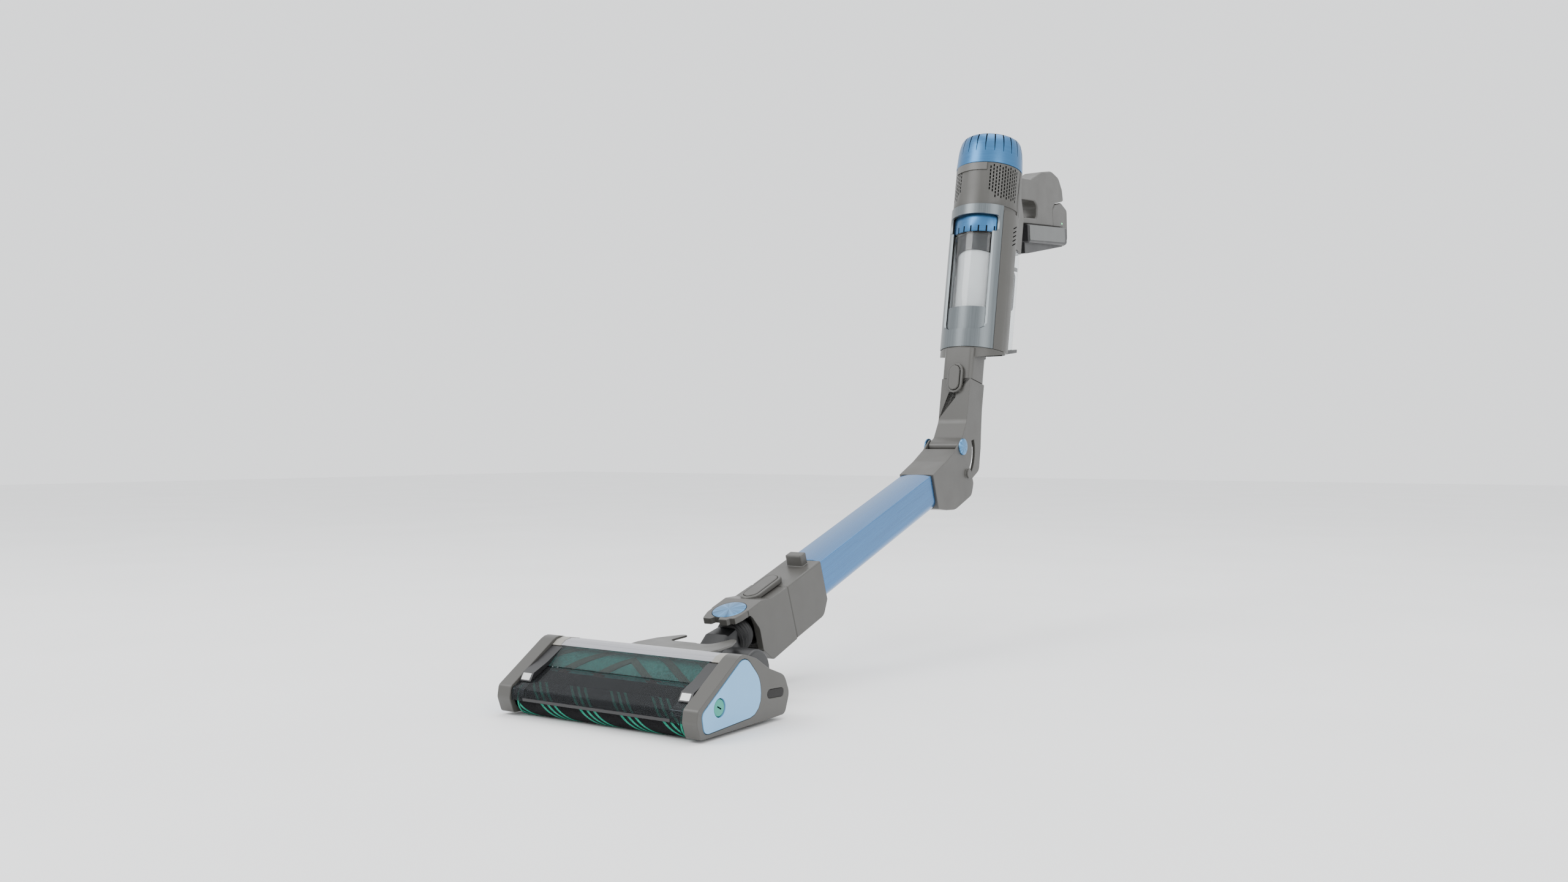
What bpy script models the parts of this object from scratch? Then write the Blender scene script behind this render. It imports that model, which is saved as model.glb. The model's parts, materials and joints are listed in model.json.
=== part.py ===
"""Cordless stick vacuum with a bending wand, as separate pieces in metres.

The floor head stands on Z = 0 and faces -Y. Piece sizes are written in millimetres and scaled by MM.
Frames: the head's own, the yoke's, the lower wand's (X across, Y along the wand, Z out of its top),
the handheld unit's (the same, from the bend hinge) and the handle's (Y back along the battery, Z up).
"""

from math import acos, atan2, cos, degrees, pi, radians, sin, sqrt, tan

import bmesh
import bpy
from mathutils import Euler, Matrix, Vector

MM = 0.001
GAP = 0.3

# Places and angles that drive the layout.
CENTRE_Y = 575.053
WAND_ORIGIN = (0, 167, 45)
WAND_PITCH = 19.0
PITCH_AXIS = (0, 181, 34)
STEER_U = 60.0
FOLD_PIN = (0, 614, 32)
FOLD_REST = 60.5
HANDLE_ORIGIN = (0, 372.5, -96.2)
HANDLE_TILT = -74.0

# Floor head.
HEAD_HALF = 130.0
END_INNER = 112.0
SOFT_ROLLER = (12, 17, 17)
BRUSH_ROLL = (66, 33.5, 29.5)
HEAD_MOTOR = (114, 26, 13)
TRUNNION_RADIUS = 24.5
HUB_RADIUS = 23.0
HUB_HALF = 22.6
WHEEL = (178, 14, 14)
WHEEL_X = 43.0
PANEL_BUTTON = (24, 29, 8.6)

# Wand.
BALL_RADIUS = 21.0
CLEVIS_HALF = 25.5
TUBE_START = 217.1
TUBE_END = 516.7
TUBE_HALF = 23.9
DUCT_RADIUS = 19.0
HINGE_HALF = 27.0
CHEEK_HALF = 23.3
BARREL_RADIUS = 8.4
PIN_RADIUS = 4.0
CHEEK_SWEEP = 73.0

# Handheld unit, turned about an axis this far behind the hinge plane.
AXIS_M = -66.5
CUP_RADIUS = 46.0
BEZEL_INNER = 49.6
BEZEL_OUTER = 52.0
BEZEL_SPREAD = 57.0
CAP_RADIUS = 50.5
MOTOR_RADIUS = 50.0
BIN_HALF = 28.0
BIN_REAR = -145.0
DOOR_HALF = 30.0
DOOR_REAR = -158.0
DOOR_HINGE = (0, 147, -62.5)
FAN_V = 388.0

FINISHES = {
    "taupe": ((0.155, 0.150, 0.137), 0.45, 0.0),
    "dark": ((0.03, 0.03, 0.032), 0.4, 0.0),
    "black": ((0.008, 0.008, 0.009), 0.55, 0.0),
    "blue_metal": ((0.16, 0.32, 0.53), 0.25, 0.9),
    "sky": ((0.34, 0.53, 0.72), 0.35, 0.0),
    "teal": ((0.06, 0.44, 0.36), 0.4, 0.0),
    "silver": ((0.30, 0.32, 0.33), 0.3, 0.8),
    "clear": ((0.75, 0.77, 0.78), 0.05, 0.0),
    "smoke": ((0.10, 0.11, 0.12), 0.08, 0.0),
    "white": ((0.80, 0.82, 0.82), 0.3, 0.0),
    "steel": ((0.55, 0.56, 0.58), 0.25, 1.0),
    "felt": ((0.70, 0.68, 0.62), 0.9, 0.0),
    "light_grey": ((0.45, 0.45, 0.42), 0.4, 0.0),
    "green": ((0.05, 0.75, 0.25), 0.3, 0.0),
}


# ---------------------------------------------------------------- scene and materials


def clear_scene():
    for obj in list(bpy.data.objects):
        bpy.data.objects.remove(obj, do_unlink=True)


def new_collection(name):
    collection = bpy.data.collections.new(name)
    bpy.context.scene.collection.children.link(collection)
    return collection


def new_frame(name, parent=None, at=(0, 0, 0), pitch=0.0):
    """An empty that pieces are placed in: at is in its parent's millimetres, pitch turns it about X."""
    frame = bpy.data.objects.new(name, None)
    frame.empty_display_size = 0.02
    PARTS.objects.link(frame)
    frame.parent = parent
    frame.location = Vector(at) * MM
    frame.rotation_euler = (radians(pitch), 0, 0)
    return frame


def coat(obj, finish):
    colour, roughness, metallic = FINISHES[finish]
    material = bpy.data.materials.new(obj.name)
    material.use_nodes = True
    shader = material.node_tree.nodes["Principled BSDF"]
    shader.inputs["Base Color"].default_value = (*colour, 1)
    shader.inputs["Roughness"].default_value = roughness
    shader.inputs["Metallic"].default_value = metallic
    obj.data.materials.append(material)


def piece(obj, frame, finish, at=None):
    """Makes a shape one of the vacuum's pieces. With at, its origin moves there and its mesh stays put."""
    if at is not None:
        obj.data.transform(Matrix.Translation(-Vector(at) * MM))
        obj.location = Vector(at) * MM
    obj.parent = frame
    for collection in list(obj.users_collection):
        collection.objects.unlink(obj)
    PARTS.objects.link(obj)
    obj.data.shade_smooth()
    obj.data.set_sharp_from_angle(angle=radians(35))
    coat(obj, finish)
    return obj


def as_tool(obj, frame):
    obj.parent = frame
    obj.hide_render = True
    obj.display_type = "WIRE"
    return obj


def combine(obj, tool, operation):
    modifier = obj.modifiers.new(tool.name, "BOOLEAN")
    modifier.operation = operation
    modifier.object = tool
    as_tool(tool, obj.parent)
    return obj


def cut(obj, tool):
    return combine(obj, tool, "DIFFERENCE")


def join(obj, tool):
    return combine(obj, tool, "UNION")


def bevel(obj, width, segments=1, angle=35):
    modifier = obj.modifiers.new("Bevel", "BEVEL")
    modifier.width = width * MM
    modifier.segments = segments
    modifier.limit_method = "ANGLE"
    modifier.angle_limit = radians(angle)
    return obj


def baked(obj):
    """The object with its modifiers applied, as a plain mesh of the same name."""
    graph = bpy.context.evaluated_depsgraph_get()
    mesh = bpy.data.meshes.new_from_object(obj.evaluated_get(graph))
    work = bmesh.new()
    work.from_mesh(mesh)
    bmesh.ops.remove_doubles(work, verts=work.verts, dist=1e-6)
    work.to_mesh(mesh)
    work.free()
    name = obj.name
    matrix = obj.matrix_world.copy()
    bpy.data.objects.remove(obj, do_unlink=True)
    result = bpy.data.objects.new(name, mesh)
    TOOLS.objects.link(result)
    result.matrix_world = matrix
    return result


# ---------------------------------------------------------------- outlines


def arc(centre_a, centre_b, radius, start, end, steps):
    """Points on an arc, its angles in degrees."""
    return [
        (
            centre_a + radius * cos(radians(start + (end - start) * i / steps)),
            centre_b + radius * sin(radians(start + (end - start) * i / steps)),
        )
        for i in range(steps + 1)
    ]


def rounded(corners, steps=3):
    """An outline through corners (a, b, radius), each corner turned into an arc."""
    points = []
    for i, (a, b, radius) in enumerate(corners):
        here = Vector((a, b))
        if radius == 0:
            points.append((a, b))
            continue
        before = (Vector(corners[i - 1][:2]) - here).normalized()
        after = (Vector(corners[(i + 1) % len(corners)][:2]) - here).normalized()
        half = before.angle(after) / 2
        centre = here + (before + after).normalized() * (radius / sin(half))
        start = here + before * (radius / tan(half)) - centre
        end = here + after * (radius / tan(half)) - centre
        first = atan2(start.y, start.x)
        turn = (atan2(end.y, end.x) - first + pi) % (2 * pi) - pi
        for k in range(steps + 1):
            angle = first + turn * k / steps
            points.append((centre.x + radius * cos(angle), centre.y + radius * sin(angle)))
    return points


def circle(a, b, radius, steps=24):
    return arc(a, b, radius, 0, 360 * (steps - 1) / steps, steps - 1)


def sharp(points):
    """Points as corners of no radius, to go between rounded ones."""
    return [(a, b, 0) for a, b in points]


def stadium(a, b, width, length, steps=6):
    """An upright slot outline centred on (a, b), its length along b."""
    reach = (length - width) / 2
    top = arc(a, b + reach, width / 2, 0, 180, steps)
    return top + arc(a, b - reach, width / 2, 180, 360, steps)


# ---------------------------------------------------------------- solids

PLANES = {
    "X": Euler((pi / 2, 0, pi / 2)).to_matrix().to_4x4(),
    "Y": Euler((pi / 2, 0, 0)).to_matrix().to_4x4(),
    "Z": Matrix.Identity(4),
}
NORMALS = {"X": Vector((1, 0, 0)), "Y": Vector((0, 1, 0)), "Z": Vector((0, 0, 1))}
SPINS = {"X": (0, pi / 2, 0), "Y": (-pi / 2, 0, 0), "Z": (0, 0, 0)}


def slab(name, loops, low, high, normal):
    """A flat outline, with holes if it has more loops, extruded along normal from low to high."""
    curve = bpy.data.curves.new(name, "CURVE")
    curve.dimensions = "2D"
    curve.fill_mode = "BOTH"
    curve.extrude = (high - low) / 2 * MM
    for loop in loops:
        spline = curve.splines.new("POLY")
        spline.points.add(len(loop) - 1)
        spline.use_cyclic_u = True
        for point, (a, b) in zip(spline.points, loop):
            point.co = (a * MM, b * MM, 0, 1)
    obj = bpy.data.objects.new(name, curve)
    TOOLS.objects.link(obj)
    result = baked(obj)
    work = bmesh.new()
    work.from_mesh(result.data)
    bmesh.ops.dissolve_limit(work, angle_limit=0.002, verts=work.verts, edges=work.edges)
    work.to_mesh(result.data)
    work.free()
    middle = NORMALS[normal] * (low + high) / 2 * MM
    result.data.transform(Matrix.Translation(middle) @ PLANES[normal])
    return result


def box(name, low, high, width=0.0):
    """A box between two corners, with beveled edges if width is given."""
    mesh = bpy.data.meshes.new(name)
    work = bmesh.new()
    bmesh.ops.create_cube(work, size=1)
    size = Vector(high) - Vector(low)
    for vert in work.verts:
        vert.co = Vector(v * s for v, s in zip(vert.co, size)) * MM + (Vector(low) + size / 2) * MM
    work.to_mesh(mesh)
    work.free()
    obj = bpy.data.objects.new(name, mesh)
    TOOLS.objects.link(obj)
    return bevel(obj, width) if width else obj


def rod(name, radius, low, high, axis, at=(0, 0), sides=24, end_radius=None):
    """A cylinder or cone along an axis from low to high. at holds the other two coordinates, in X, Y, Z order."""
    mesh = bpy.data.meshes.new(name)
    work = bmesh.new()
    bmesh.ops.create_cone(
        work,
        cap_ends=True,
        segments=sides,
        radius1=radius * MM,
        radius2=(radius if end_radius is None else end_radius) * MM,
        depth=(high - low) * MM,
    )
    work.to_mesh(mesh)
    work.free()
    middle = (low + high) / 2
    centre = {
        "X": (middle, at[0], at[1]),
        "Y": (at[0], middle, at[1]),
        "Z": (at[0], at[1], middle),
    }[axis]
    turn = Euler(SPINS[axis]).to_matrix().to_4x4()
    mesh.transform(Matrix.Translation(Vector(centre) * MM) @ turn)
    obj = bpy.data.objects.new(name, mesh)
    TOOLS.objects.link(obj)
    return obj


def turned(name, profile, axis, at=(0, 0), steps=28, closed=False):
    """A profile (radius, height) turned about an axis. It runs top to bottom on its outer side."""
    mesh = bpy.data.meshes.new(name)
    work = bmesh.new()
    verts = [work.verts.new((r * MM, 0, h * MM)) for r, h in profile]
    ends = verts[1:] + verts[:1] if closed else verts[1:]
    for first, second in zip(verts, ends):
        work.edges.new((first, second))
    work.to_mesh(mesh)
    work.free()
    obj = bpy.data.objects.new(name, mesh)
    TOOLS.objects.link(obj)
    screw = obj.modifiers.new("Screw", "SCREW")
    screw.steps = steps
    screw.render_steps = steps
    screw.use_merge_vertices = True
    screw.merge_threshold = 0.00001
    result = baked(obj)
    place = {"X": (0, at[0], at[1]), "Y": (at[0], 0, at[1]), "Z": (at[0], at[1], 0)}[axis]
    turn = Euler(SPINS[axis]).to_matrix().to_4x4()
    result.data.transform(Matrix.Translation(Vector(place) * MM) @ turn)
    return result


def ring(name, outer, inner, low, high, axis, at=(0, 0), steps=28):
    profile = [(outer, high), (outer, low), (inner, low), (inner, high)]
    return turned(name, profile, axis, at, steps, closed=True)


def loft(name, rings, hollow=None):
    """A skin over rings of 3D points, capped flat. With hollow, inner rings, it is a tube open at both ends."""
    mesh = bpy.data.meshes.new(name)
    work = bmesh.new()

    def skin(loops):
        rows = [[work.verts.new(Vector(p) * MM) for p in loop] for loop in loops]
        for low, high in zip(rows, rows[1:]):
            for i in range(len(low)):
                j = (i + 1) % len(low)
                work.faces.new((low[i], low[j], high[j], high[i]))
        return rows

    outer = skin(rings)
    if hollow is None:
        work.faces.new(outer[0])
        work.faces.new(outer[-1])
    else:
        inner = skin(hollow)
        for end in (0, -1):
            for i in range(len(outer[end])):
                j = (i + 1) % len(outer[end])
                work.faces.new((outer[end][i], outer[end][j], inner[end][j], inner[end][i]))
    bmesh.ops.recalc_face_normals(work, faces=work.faces)
    work.to_mesh(mesh)
    work.free()
    obj = bpy.data.objects.new(name, mesh)
    TOOLS.objects.link(obj)
    return obj


def arc_band(name, inner, outer, low, high, start, end, steps):
    """A curved plate on the handheld unit's axis. Angles run from the front, positive towards +X."""
    rings = []
    for i in range(steps + 1):
        angle = radians(start + (end - start) * i / steps)
        corners = ((inner, low), (outer, low), (outer, high), (inner, high))
        rings.append([(r * sin(angle), v, AXIS_M + r * cos(angle)) for r, v in corners])
    return loft(name, rings)


def tube_section(u, half, top, bottom, inset=0.0):
    """The wand's section: flat sides, a slightly crowned top and a round underside."""
    half, top, bottom = half - inset, top - inset, bottom + inset
    ridge = top - 2
    points = [(-half, ridge), (-half * 0.5, top - 0.5), (half * 0.5, top - 0.5), (half, ridge)]
    points += [(half, bottom + 14)]
    points += [(half - 4, bottom + 5), (half - 13, bottom), (13 - half, bottom), (4 - half, bottom + 5)]
    points += [(-half, bottom + 14)]
    return [(x, u, n) for x, n in points]


# ---------------------------------------------------------------- floor head


def end_outline():
    """The side of the head: a low nose, a domed middle and a rear lobe."""
    corners = [(-5, 3, 4), (-11, 19, 8), (-9, 31, 6), (59, 76, 18), (84, 68, 12), (106, 55, 20)]
    corners += [(133, 45, 14), (142, 26, 12), (134, 5, 7), (98, 4, 0)]
    return rounded(corners, 3)


def panel_outline():
    corners = [(-4, 27, 8), (0, 6.5, 8), (94, 12, 20), (90, 48, 26), (65, 74, 13)]
    return rounded(corners, 4)


def inner_cavity():
    corners = [(0, 9, 4), (-5, 20, 4), (-3, 28, 4), (58, 70, 12), (82, 60, 8), (104, 49, 10)]
    corners += [(128, 40, 8), (135, 26, 8), (128, 10, 5), (98, 9, 0)]
    return rounded(corners, 2)


def build_end_housing(side, sign):
    def along(low, high):
        return (low, high) if sign > 0 else (-high, -low)

    name = side + "_end_housing"
    housing = slab(name, [end_outline()], *along(END_INNER, HEAD_HALF), "X")
    piece(housing, HEAD, "taupe")
    cut(housing, slab(name + "_inside", [inner_cavity()], *along(END_INNER - 1, 125), "X"))
    cut(housing, slab(name + "_pocket", [panel_outline()], *along(127.6, HEAD_HALF + 2), "X"))
    sensor = rounded([(103, 25, 4), (103, 34, 4), (131, 32.5, 4), (131, 23.5, 4)], 3)
    cut(housing, slab(name + "_sensor", [sensor], *along(128.6, 132), "X"))

    corners = [(-3.4, 26.7, 7.6), (0.4, 7.1, 7.6), (93.4, 12.5, 19.6), (89.6, 47.8, 26), (65, 73.1, 12.6)]
    shrunk = rounded(corners, 4)
    y, z, radius = PANEL_BUTTON
    loops = [shrunk, circle(y, z, radius + 0.6)] if sign > 0 else [shrunk]
    panel = slab(side + "_side_panel", loops, *along(127.9, HEAD_HALF + 0.3), "X")
    piece(panel, HEAD, "sky")
    if sign > 0:
        cut(housing, rod("panel_button_well", radius + 1, 123, 128, "X", (y, z)))
        button = rod("panel_release_button", radius, 125.6, HEAD_HALF - 0.5, "X", (y, z))
        piece(bevel(button, 0.8), HEAD, "teal", at=(127.8, y, z))

    pod_outline = [(3, 35.2), (8, 43.5), (27, 52), (50, 65.2), (53, 63.4), (28.5, 47.9)]
    pod = slab(side + "_headlight_pod", [pod_outline], *along(96.4, END_INNER - GAP), "X")
    piece(pod, HEAD, "dark")


def bar_outline():
    return [(51, 66.4), (57.5, 70.6), (66, 72.4), (80, 70.4), (80, 67.9), (66, 69.6), (58.5, 68.2), (53, 64.6)]


def build_head_shell():
    y, z, radius = BRUSH_ROLL
    cavity = arc(y, z, radius + 2.2, -52, 78, 9)
    rear = rounded([(80.5, 66.8, 0), (106, 54, 20), (131, 45, 13), (140, 26, 11), (132, 6, 6), (86, 6, 0)], 3)
    chassis = slab("head_chassis", [rear + cavity], -END_INNER + GAP, END_INNER - GAP, "X")
    piece(chassis, HEAD, "dark")
    for name, low, high in (("motor_bay", 20, 106), ("valve_bay", -106, -20)):
        cut(chassis, box(name, (low, 100, 0), (high, 129, 41)))
    cut(chassis, rod("head_duct", 14, 80, 150, "Y", (0, 27)))
    cut(chassis, rod("motor_shaft_way", 4, 100, 115, "X", HEAD_MOTOR[:2], 12))

    sole_outer = rounded([(-111.5, 34.6, 0), (111.5, 34.6, 0), (111.5, 131, 4), (-111.5, 131, 4)], 2)
    sole_mouth = rounded([(-108, 40, 3), (108, 40, 3), (108, 88, 3), (-108, 88, 3)], 2)
    piece(slab("sole_plate", [sole_outer, sole_mouth], 2.6, 5.6, "Z"), HEAD, "dark")

    bar = [(30.2, 6), (33.6, 6), (34.6, 25), (31.6, 40), (28.6, 42.5), (29.8, 28)]
    piece(slab("front_crossbar", [bar], -END_INNER + GAP, END_INNER - GAP, "X"), HEAD, "black")
    visor = [(-8, 17), (-8.4, 26), (-7, 29.4), (27.4, 47.1), (28.2, 44.9), (-5.2, 27.7), (-6, 25), (-6, 17)]
    piece(slab("front_visor", [visor], -END_INNER + GAP, END_INNER - GAP, "X"), HEAD, "smoke")
    window = [(28.9, 48.2), (50.4, 66), (52.4, 64.2), (31, 46.4)]
    piece(slab("brush_window", [window], -96, 96, "X"), HEAD, "smoke")
    piece(slab("top_bar", [bar_outline()], -END_INNER + GAP, END_INNER - GAP, "X"), HEAD, "silver")

    half = [(50, 92, 2), (55, 120, 10), (51, 150, 14), (37, 178, 6), (30, 178, 3), (28.5, 141, 10)]
    outline = rounded(half + [(-x, y, radius) for x, y, radius in reversed(half)], 3)
    cover = slab("neck_cover", [[(x, y - 90) for x, y in outline]], -2.4, 0, "Z")
    for side in (-1, 1):
        join(cover, box(f"cover_leg_{side}", (side * 40 - 6, 6.5, -5), (side * 40 + 6, 10, -1)))
    cover = baked(cover)
    cover.data.transform(Matrix.Translation(Vector((0, 90, 64.4)) * MM) @ Matrix.Rotation(radians(1.9), 4, "X"))
    piece(cover, HEAD, "taupe")


def build_trunnion(side, sign):
    def along(low, high):
        return (low, high) if sign > 0 else (-high, -low)

    name = side + "_trunnion"
    y, z = PITCH_AXIS[1:]
    barrel = rod(name, TRUNNION_RADIUS, *along(23.2, 62), "X", (y, z), 28)
    piece(bevel(barrel, 2), HEAD, "dark")
    web = box(name + "_web", (along(27, 58)[0], 138.5, 18), (along(27, 58)[1], 168, 44))
    join(barrel, web)
    lip = [(120, 0), (140.3, 0), (140.3, 26), (137, 38), (131.5, 45.5), (120, 60)]
    cut(barrel, slab(name + "_lip", [lip], *along(20, 66), "X"))
    low, high = along(WHEEL_X - 6.5, WHEEL_X + 6.5)
    cut(barrel, box(name + "_wheel_slot", (low, 162.5, -2), (high, 194, 29.6)))
    cut(barrel, rod(name + "_bore", PIN_RADIUS + GAP, *along(20, 50.5), "X", (y, z), 16))
    cut(barrel, rod(name + "_stub", 2.4, *along(WHEEL_X - 10, WHEEL_X + 10), "X", WHEEL[:2], 10))

    wheel = rod(side + "_rear_wheel", WHEEL[2], *along(WHEEL_X - 6, WHEEL_X + 6), "X", WHEEL[:2], 24)
    piece(bevel(wheel, 1.2), HEAD, "black", at=(sign * WHEEL_X, *WHEEL[:2]))
    stub = rod(side + "_wheel_stub", 2, *along(-9.6, 9.6), "X", (0, 0), 10)
    stub.location = wheel.location
    join(wheel, stub)


def build_rollers():
    y, z, radius = SOFT_ROLLER
    soft = rod("soft_roller", radius, -108, 108, "X", (y, z), 28)
    piece(bevel(soft, 3, 2), HEAD, "black", at=(0, y, z))
    axle = rod("soft_roller_axle", 3, -118, 118, "X", (0, 0), 12)
    axle.location = soft.location
    join(soft, axle)

    y, z, radius = BRUSH_ROLL
    roll = rod("brush_roll", radius, -106, 106, "X", (y, z), 28)
    piece(bevel(roll, 2), HEAD, "teal", at=(0, y, z))
    axle = rod("brush_roll_axle", 4, -118, 120, "X", (0, 0), 12)
    axle.location = roll.location
    join(roll, axle)

    y, z, radius = HEAD_MOTOR
    motor = rod("brush_motor", radius, 24, 94, "X", (y, z), 20)
    piece(bevel(motor, 1.5), HEAD, "steel")
    join(motor, rod("brush_motor_shaft", 2.5, 90, 120, "X", (y, z), 12))
    belt = belt_outline(BRUSH_ROLL[:2], 11, HEAD_MOTOR[:2], 6)
    hole = belt_outline(BRUSH_ROLL[:2], 9.4, HEAD_MOTOR[:2], 4.4)
    piece(slab("drive_belt", [belt, hole], 114, 119, "X"), HEAD, "black")


def belt_outline(first, first_radius, second, second_radius):
    """The loop of a belt round two pulleys."""
    across = Vector(second) - Vector(first)
    heading = atan2(across.y, across.x)
    lean = pi / 2 - atan2(first_radius - second_radius, across.length)
    points = []
    for centre, radius, start, end in (
        (second, second_radius, heading - lean, heading + lean),
        (first, first_radius, heading + lean, heading + 2 * pi - lean),
    ):
        for i in range(9):
            angle = start + (end - start) * i / 8
            points.append((centre[0] + radius * cos(angle), centre[1] + radius * sin(angle)))
    return points


# ---------------------------------------------------------------- neck yoke


def build_yoke():
    hub_u, hub_n = hub_centre()
    yoke = rod("neck_yoke", HUB_RADIUS, -HUB_HALF, HUB_HALF, "X", (hub_u, hub_n), 28)
    piece(bevel(yoke, 1.2), YOKE, "black")
    sections = ((14, 19, -33, 6), (30, 17, -24, 15), (48, 14.5, -14, 14.5))
    rings = []
    for u, half, low, high in sections:
        corners = rounded([(-half, low, 5), (half, low, 5), (half, high, 5), (-half, high, 5)], 2)
        rings.append([(x, u, n) for x, n in corners])
    join(yoke, loft("neck_horn", rings))
    core = [(0, 21), (8, 18)] + [(17.5 * cos(radians(a)), 17.5 * sin(radians(a))) for a in (40, 15, -15, -50)]
    core += [(8, -17), (0, -17)]
    core = [(max(0, r), h) for r, h in core]
    join(yoke, turned("neck_ball", core, "Y", (0, 0), 20))
    bpy.data.objects["neck_ball"].location = (0, STEER_U * MM, 0)
    cut(yoke, rod("yoke_bore", PIN_RADIUS + GAP, -30, 30, "X", (hub_u, hub_n), 16))
    cut(yoke, rod("steer_bore", 5.3, -30, 30, "Z", (0, STEER_U), 16))

    ribs = []
    for i in range(13):
        height = 12 - 2 * i
        depth = 0 if i % 2 else 1.4
        ribs.append((sqrt(BALL_RADIUS**2 - height**2) - depth, height))
    lining = [(sqrt(18.0**2 - h**2), h) for h in (-12, -6, 0, 6, 12)]
    seal = turned("neck_seal", ribs + lining, "Y", (0, 0), 24, closed=True)
    seal.data.transform(Matrix.Translation((0, STEER_U * MM, 0)))
    piece(seal, YOKE, "black")
    cut(seal, rod("seal_bore", 5.6, -40, 40, "Z", (0, STEER_U), 16))
    piece(rod("steering_pin", 5, -35, 26, "Z", (0, STEER_U), 16), YOKE, "steel")
    piece(rod("pitch_axle", PIN_RADIUS, -50, 50, "X", (hub_u, hub_n), 16), HEAD_AXLE, "steel")


def hub_centre():
    """The pitch axis in the wand's (along, out) coordinates."""
    back, up = (PITCH_AXIS[1] - WAND_ORIGIN[1], PITCH_AXIS[2] - WAND_ORIGIN[2])
    lean = radians(WAND_PITCH)
    return back * cos(lean) + up * sin(lean), up * cos(lean) - back * sin(lean)


# ---------------------------------------------------------------- lower wand


def build_clevis():
    side = [(34, 31, 1), (34, 23.5, 0), (63, 23.5, 0), (66, 20, 3), (75, 2, 14), (74, -24, 6), (88, -43, 6)]
    side += [(139.9, -42, 0), (139.9, 24, 0), (106, 25, 8), (88, 31, 8)]
    clevis = slab("neck_clevis", [rounded(side, 3)], -CLEVIS_HALF, CLEVIS_HALF, "X")
    piece(clevis, WAND, "taupe")
    tip = [(24, 50), (21, 40), (15, 39), (13, 34.8), (3, 34.6), (1, 40), (-6, 40), (-9, 35.2), (-19, 35.2)]
    tip += [(-21, 40), (-24, 50)]
    trim = [(-60, 0), (60, 0), (60, 61), (24.6, 61)] + tip + [(-24.6, 61), (-60, 61)]
    cut(clevis, slab("prong_trim", [trim], 20, 40, "Z"))
    tongue = rounded([(-12, 47, 8), (12, 47, 8), (12, 92, 0), (-12, 92, 0)], 3)
    join(clevis, slab("clevis_tongue", [tongue], -36, -26, "Z"))
    bezel = slab("lower_bezel", [stadium(0, 124.5, 25, 67)], 24.9, 31.4, "Z")
    join(clevis, bevel(bezel, 1, 2))
    join(clevis, box("bezel_root", (-9, 100, 20), (9, 138, 27)))
    cut(clevis, rod("ball_cavity", 22.7, -25.6, 23.3, "Z", (0, STEER_U), 32))
    cut(clevis, rod("clevis_duct", 17, 60, 150, "Y", (0, -6), 24))
    cut(clevis, rod("steer_hole_top", 5.3, 15, 26.4, "Z", (0, STEER_U), 16))
    cut(clevis, rod("steer_hole_bottom", 5.3, -40, -20, "Z", (0, STEER_U), 16))
    cut(clevis, rod("disc_recess", 20, 29.4, 34, "Z", (0, STEER_U), 32))
    cut(clevis, slab("lower_button_well", [stadium(0, 124.5, 18.8, 59)], 25.9, 34, "Z"))

    cap = [(0, 31.9), (10, 31.7), (18.2, 31.4), (19.6, 30.8), (19.6, 29.7), (0, 29.7)]
    piece(turned("steering_cap", cap, "Z", (0, STEER_U), 32), WAND, "blue_metal")
    button = slab("lower_release_button", [stadium(0, 124.5, 18, 58)], 28.9, 32.2, "Z")
    piece(bevel(button, 0.6), WAND, "taupe", at=(0, 124.5, 30.5))


def build_tube_socket():
    side = rounded([(140.4, 24.5, 0), (216.8, 24.5, 0), (216.8, -26, 2), (203, -42, 12), (140.4, -42, 0)], 3)
    socket = slab("tube_socket", [side], -25.2, 25.2, "X")
    piece(bevel(socket, 3, 2, 60), WAND, "taupe")
    cut(socket, rod("socket_duct", DUCT_RADIUS, 130, 220, "Y", (0, -3), 24))
    join(socket, box("storage_hook", (-11.5, 196, 20), (11.5, 209, 38.5), 1.5))
    cut(socket, box("hook_pocket", (-8.5, 199, 31), (8.5, 212, 36)))


def build_tube():
    ends = (TUBE_START, TUBE_END)
    outer = [tube_section(u, TUBE_HALF, 24.7, -26.3) for u in ends]
    inner = [tube_section(u, TUBE_HALF, 24.7, -26.3, 1.6) for u in ends]
    piece(loft("wand_tube", outer, inner), WAND, "blue_metal")
    piece(rod("wiring_conduit", 2.4, 146, 541, "Y", (11.5, -10), 10), WAND, "black")


def hinge_outline():
    barrel = arc(*FOLD_PIN[1:], 10, 118, -20, 6)
    rear = [(621, 14, 6), (629, -10, 20), (632, -30, 10), (620, -45, 12), (565, -46, 40), (540, -37, 20)]
    return rounded([(517, 24.5, 0), (560, 28.5, 40), (594, 34.5, 0), *sharp(barrel), *rear, (517, -26.2, 0)], 4)


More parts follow.
